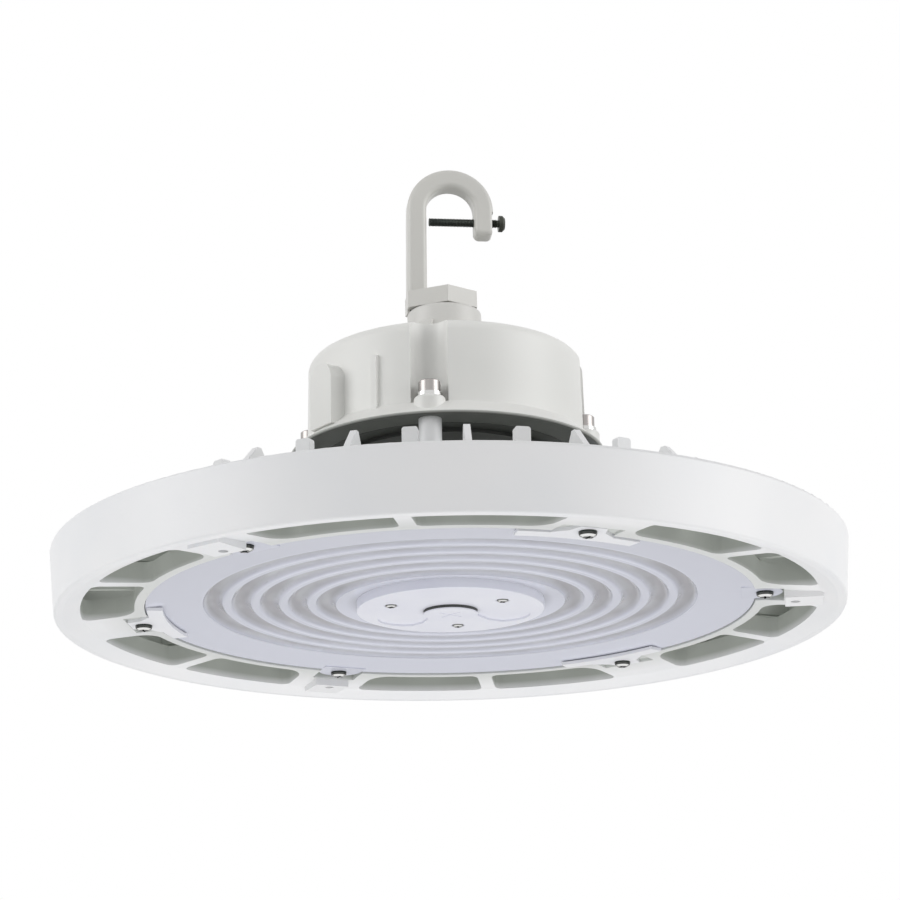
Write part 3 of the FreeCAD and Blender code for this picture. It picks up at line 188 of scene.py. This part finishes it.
def coat_socket(material):
    """Output that gives a powder coat its drifting colour."""
    return shader_of(material).inputs["Base Color"].links[0].from_socket


def heat_sink_coat():
    """White coat with painted shade: grey green in the well between rim and fins, where shade
    falls.
    """
    material = powder_coat("white_cast", linear(240, 240, 241), linear(236, 237, 239))
    coat = coat_socket(material)
    mask = inside_radius(material, RIM_WALL_R)
    for part in (height_mask(material, WELL_DEPTH), height_mask(material, WELL_TOP, (1, 0))):
        product = add_node(material, "ShaderNodeMath", operation="MULTIPLY")
        wire(material, mask, "Value", product, 0)
        wire(material, part, "Result", product, 1)
        mask = product
    # painted shade: the well's walls and the fins' roots take the grey green
    mix_base_color(material, mask.outputs["Value"], coat, linear(*WELL_SHADE_GREY))
    return material


def housing_coat():
    """Pale coat of the driver housing, with painted shade: its flange's lower face is dark."""
    material = powder_coat("housing_cast", linear(240, 240, 237), linear(236, 236, 233))
    coat = coat_socket(material)
    above = height_mask(material, FLANGE_FACE)
    mix_base_color(material, above.outputs["Result"], linear(*FLANGE_SHADE_DARK), coat)
    return material


def moulded(name, color, tone, roughness):
    """Moulded plastic or rubber: a faint grain and a slight drift of tone."""
    material = new_material(name, color, roughness)
    grain(material, scale=300.0, depth=0.00001, tone=tone, tone_scale=30.0)
    return material


def lens_plastic():
    """Milky lavender polycarbonate, clearer in its grooves, where streaks of refracted light and
    shade are painted.
    """
    material = new_material("lens_plastic", linear(*LENS_MILK), SMOOTH[0], IOR=1.5)
    shader = shader_of(material)
    grain(material, scale=60.0, depth=0.00002, detail=1.0)
    groove = height_mask(material, LENS_GROOVE)
    for socket, ends in (("Transmission Weight", CLEAR), ("Roughness", SMOOTH)):
        value = map_range(material, groove, "Result", end=ends)
        wire(material, value, "Result", shader, socket)
    # painted refraction: ring streaks, dark to pale, in the grooves' base colour
    refraction_streaks = add_node(material, "ShaderNodeTexWave", wave_type="RINGS", rings_direction="Z",
                       Scale=26.0, Distortion=6.0, Detail=2.0)
    wire(material, coordinates(material), "Object", refraction_streaks, "Vector")
    refraction_tones = color_ramp(material, refraction_streaks, "Fac",
                       (0.0, linear(*REFRACTION_STREAK_DARK)), (1.0, linear(*REFRACTION_STREAK_PALE)))
    mix_base_color(material, groove.outputs["Result"], linear(*LENS_MILK), refraction_tones.outputs["Color"])
    return material


def bare_steel(name="stainless", color=(0.62, 0.62, 0.61), roughness=0.12):
    """Plain metal with a very fine grain."""
    material = new_material(name, color, roughness, metallic=1.0)
    grain(material, scale=1500.0, depth=0.00001)
    return material


def screw_with_painted_reflection():
    """Bright steel with painted reflection and highlight: its flanks, turned neither up nor down,
    are painted dark.
    """
    material = bare_steel("screw_steel")
    split = add_node(material, "ShaderNodeSeparateXYZ")
    wire(material, coordinates(material), "Normal", split, "Vector")
    size = add_node(material, "ShaderNodeMath", operation="ABSOLUTE")
    wire(material, split, "Z", size, 0)
    # painted reflection: flanks dark, faces turned up or down bright as a painted highlight
    ramp = color_ramp(material, size, "Value",
                      (0.25, (0.05, 0.055, 0.05)), (0.8, (0.68, 0.68, 0.67)))
    wire(material, ramp, "Color", shader_of(material), "Base Color")
    return material


def coated_steel():
    """Dark coat over steel, with a slight brown green drift."""
    material = new_material("dark_screw", (0.05, 0.06, 0.055), 0.38, metallic=0.8)
    grain(material, scale=1500.0, depth=0.00001, tone=(0.075, 0.07, 0.05))
    return material


white_cast = heat_sink_coat()
housing_cast = housing_coat()
hub_cast = powder_coat("hub_cast", linear(222, 221, 217), linear(217, 216, 213))
hook_cast = powder_coat("hook_cast", linear(216, 215, 210), linear(210, 209, 205), 0.36)
cover_white = moulded("cover_plastic", linear(236, 237, 245), linear(231, 232, 242), 0.3)
clip_white = moulded("clip_plastic", linear(240, 240, 242), linear(235, 236, 240), 0.35)
board_white = moulded("board_white", linear(235, 235, 232), linear(228, 229, 227), 0.4)
sleeve_plastic = moulded("sleeve_plastic", linear(205, 205, 203), linear(196, 197, 196), 0.45)
phosphor = moulded("chip_phosphor", linear(238, 176, 110), linear(228, 164, 96), 0.35)
rubber = moulded("seal_rubber", linear(150, 150, 152), linear(140, 140, 142), 0.7)
# Dark grey: painted shade on the driver base's underside, and the plug seal's own dark colour.
dark_plate = powder_coat("dark_plate", linear(66, 68, 66), linear(60, 62, 60), 0.5)
driver_case = bare_steel("driver_case", (0.5, 0.5, 0.5), 0.4)
steel = bare_steel()
cap_steel = bare_steel("cap_steel", (0.36, 0.34, 0.33), 0.3)

NODE_MATERIALS = {
    "heat_sink": white_cast, "lens": lens_plastic(), "driver_housing": housing_cast,
    "hub_collar": hub_cast, "hook": hook_cast, "hook_screw": coated_steel(),
    "sensor_cover": cover_white, "sensor_plug": cover_white, "sensor_socket": cover_white,
    "led_board": board_white, "board_connector": clip_white, "wire_sleeve": sleeve_plastic,
    "driver_base": dark_plate, "plug_seal": dark_plate, "led_driver": driver_case,
    "driver_bolts": cap_steel,
    **dict.fromkeys(("lens_screws", "clip_screws", "cover_screws"), screw_with_painted_reflection()),
    **{name: clip_white for name in nodes if name.startswith("lens_clip_")},
    **{name: phosphor for name in nodes if name.startswith("led_ring_")},
    **{name: rubber for name in nodes if name.endswith("_gasket")},
}

for name, node in nodes.items():
    node.data.materials.clear()
    node.data.materials.append(NODE_MATERIALS.get(name, steel))


# ---------------------------------------------------------------- studio

def floor():
    """Plain pale floor below the light, that softly lights its underside."""
    half = FLOOR_SIZE / 2
    mesh = bpy.data.meshes.new("floor")
    mesh.from_pydata([(-half, -half, 0), (half, -half, 0), (half, half, 0), (-half, half, 0)],
                     [], [(0, 1, 2, 3)])
    ground = bpy.data.objects.new("floor", mesh)
    ground.location.z = FLOOR_HEIGHT
    scene.collection.objects.link(ground)
    material = new_material("floor_paper", linear(238, 238, 238), 0.9)
    grain(material, scale=40.0, depth=0.0002)
    mesh.materials.append(material)


def area_light(name, place, target, size, watts):
    data = bpy.data.lights.new(name, "AREA")
    data.shape = "SQUARE"
    data.size = size
    data.energy = watts
    lamp = bpy.data.objects.new(name, data)
    lamp.location = place
    lamp.rotation_euler = (Vector(target) - Vector(place)).to_track_quat("-Z", "Y").to_euler()
    scene.collection.objects.link(lamp)


def white_surround():
    """World seen as white by the camera and in reflections, and dimmer as a soft light."""
    world = bpy.data.worlds.new("surround")
    scene.world = world
    world.use_nodes = True
    tree = world.node_tree
    tree.nodes.clear()
    mix = tree.nodes.new("ShaderNodeMixShader")
    for slot, strength in ((1, SURROUND_STRENGTH), (2, 1.0)):
        background = tree.nodes.new("ShaderNodeBackground")
        background.inputs["Color"].default_value = (1, 1, 1, 1)
        background.inputs["Strength"].default_value = strength
        tree.links.new(background.outputs["Background"], mix.inputs[slot])
    path = tree.nodes.new("ShaderNodeLightPath")
    seen = path.outputs["Is Camera Ray"]
    for kind in ("Is Glossy Ray", "Is Transmission Ray"):
        either = tree.nodes.new("ShaderNodeMath")
        either.operation = "MAXIMUM"
        tree.links.new(seen, either.inputs[0])
        tree.links.new(path.outputs[kind], either.inputs[1])
        seen = either.outputs["Value"]
    tree.links.new(seen, mix.inputs["Fac"])
    out = tree.nodes.new("ShaderNodeOutputWorld")
    tree.links.new(mix.outputs["Shader"], out.inputs["Surface"])


def camera():
    """Below the light and in front of it, looking a little up."""
    data = bpy.data.cameras.new("camera")
    data.lens = CAMERA_LENS
    data.sensor_width = SENSOR_WIDTH
    view = bpy.data.objects.new("camera", data)
    aim = (CAMERA_TARGET - CAMERA_PLACE).to_track_quat("-Z", "Y").to_matrix().to_4x4()
    roll = Matrix.Rotation(math.radians(CAMERA_ROLL), 4, "Z")
    view.matrix_world = Matrix.Translation(CAMERA_PLACE) @ aim @ roll
    scene.collection.objects.link(view)
    scene.camera = view


floor()
for lamp in LAMPS:
    area_light(*lamp)
white_surround()
camera()

scene.view_settings.view_transform = "Standard"
